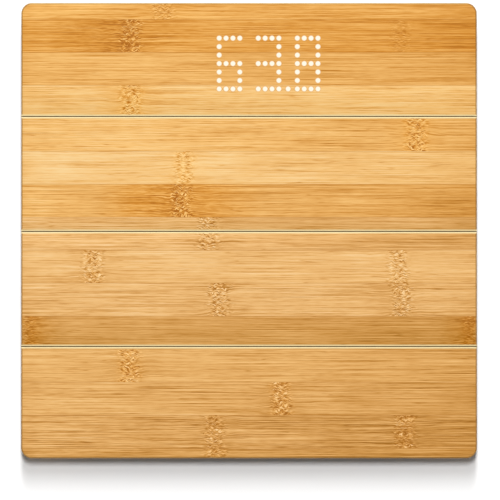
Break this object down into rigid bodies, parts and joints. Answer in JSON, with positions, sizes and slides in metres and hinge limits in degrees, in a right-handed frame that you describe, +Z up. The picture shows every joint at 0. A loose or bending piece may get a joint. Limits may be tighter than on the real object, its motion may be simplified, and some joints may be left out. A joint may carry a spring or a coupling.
{
  "type": "digital bathroom scale",
  "caption": "Square bamboo-topped digital bathroom scale with hidden dot-matrix numbers, a moulded under-shell, load-cell feet, a battery door and a unit button.",
  "frame": {"origin": "on the floor under the middle of the platform, at the soles of the feet", "axes": "+Z up, +Y away from the user towards the display edge, +X to the user's right"},
  "size_m": [0.3, 0.3, 0.029],
  "materials": {
    "bamboo": "light laminated bamboo under a thin satin lacquer",
    "shell_plastic": "fine-textured black ABS",
    "foot_plastic": "smooth black ABS",
    "holder_plastic": "dark grey ABS",
    "pad_rubber": "grey rubber, finely textured",
    "mask_plastic": "dull black ABS",
    "circuit_board": "green solder mask",
    "chip_plastic": "black epoxy",
    "capacitor_can": "drawn can",
    "button_plastic": "mid grey ABS",
    "label_film": "blank silver film",
    "cell_jacket": "plain green film jacket",
    "contact_steel": "nickel-plated spring steel",
    "cell_steel": "stamped steel",
    "screw_steel": "zinc-plated steel",
    "silicone": "white silicone",
    "grey_lead": "grey PVC",
    "red_lead": "red PVC",
    "black_lead": "black PVC"
  },
  "bodies": {
    "frame": {"bamboo_platform": "bamboo", "base_shell": "shell_plastic", "light_mask": "mask_plastic", "main_board": "circuit_board", "controller_chip": "chip_plastic", "driver_chip": "chip_plastic", "capacitor": "capacitor_can", "unit_switch": "chip_plastic", "rating_label": "label_film", "battery_1": "cell_jacket", "battery_2": "cell_jacket", "battery_3": "cell_jacket", "contact_plus": "contact_steel", "contact_bridge_left": "contact_steel", "contact_bridge_right": "contact_steel", "contact_minus": "contact_steel", "battery_lead_plus": "red_lead", "battery_lead_minus": "black_lead", "cell_holder_front_left": "holder_plastic", "load_cell_front_left": "cell_steel", "gauge_seal_front_left": "silicone", "cell_lead_front_left": "grey_lead", "cell_holder_front_right": "holder_plastic", "load_cell_front_right": "cell_steel", "gauge_seal_front_right": "silicone", "cell_lead_front_right": "grey_lead", "cell_holder_back_left": "holder_plastic", "load_cell_back_left": "cell_steel", "gauge_seal_back_left": "silicone", "cell_lead_back_left": "grey_lead", "cell_holder_back_right": "holder_plastic", "load_cell_back_right": "cell_steel", "gauge_seal_back_right": "silicone", "cell_lead_back_right": "grey_lead", "shell_screw_1": "screw_steel", "shell_screw_2": "screw_steel", "shell_screw_3": "screw_steel", "shell_screw_4": "screw_steel", "shell_screw_5": "screw_steel", "shell_screw_6": "screw_steel", "shell_screw_7": "screw_steel", "shell_screw_8": "screw_steel", "board_screw_1": "screw_steel", "board_screw_2": "screw_steel", "board_screw_3": "screw_steel", "board_screw_4": "screw_steel"},
    "door": {"battery_door": "shell_plastic"},
    "button": {"unit_button": "button_plastic", "switch_plunger": "foot_plastic"},
    "foot_front_left": {"foot_cap_front_left": "foot_plastic", "foot_pad_front_left": "pad_rubber"},
    "foot_front_right": {"foot_cap_front_right": "foot_plastic", "foot_pad_front_right": "pad_rubber"},
    "foot_back_left": {"foot_cap_back_left": "foot_plastic", "foot_pad_back_left": "pad_rubber"},
    "foot_back_right": {"foot_cap_back_right": "foot_plastic", "foot_pad_back_right": "pad_rubber"}
  },
  "joints": [
    {"name": "door_hinge", "type": "hinge", "parent": "frame", "child": "door", "pos_m": [-0.029, 0.015, 0.004], "axis": [0, 1, 0], "range_deg": [0, 95]},
    {"name": "button_press", "type": "slide", "parent": "frame", "child": "button", "axis": [0, 0, 1], "range_m": [0, 0.0006], "stiffness_N_per_m": 1500},
    {"name": "foot_front_left_drop", "type": "slide", "parent": "frame", "child": "foot_front_left", "axis": [0, 0, -1], "range_m": [0, 0.0008]},
    {"name": "foot_front_right_drop", "type": "slide", "parent": "frame", "child": "foot_front_right", "axis": [0, 0, -1], "range_m": [0, 0.0008]},
    {"name": "foot_back_left_drop", "type": "slide", "parent": "frame", "child": "foot_back_left", "axis": [0, 0, -1], "range_m": [0, 0.0008]},
    {"name": "foot_back_right_drop", "type": "slide", "parent": "frame", "child": "foot_back_right", "axis": [0, 0, -1], "range_m": [0, 0.0008]}
  ]
}
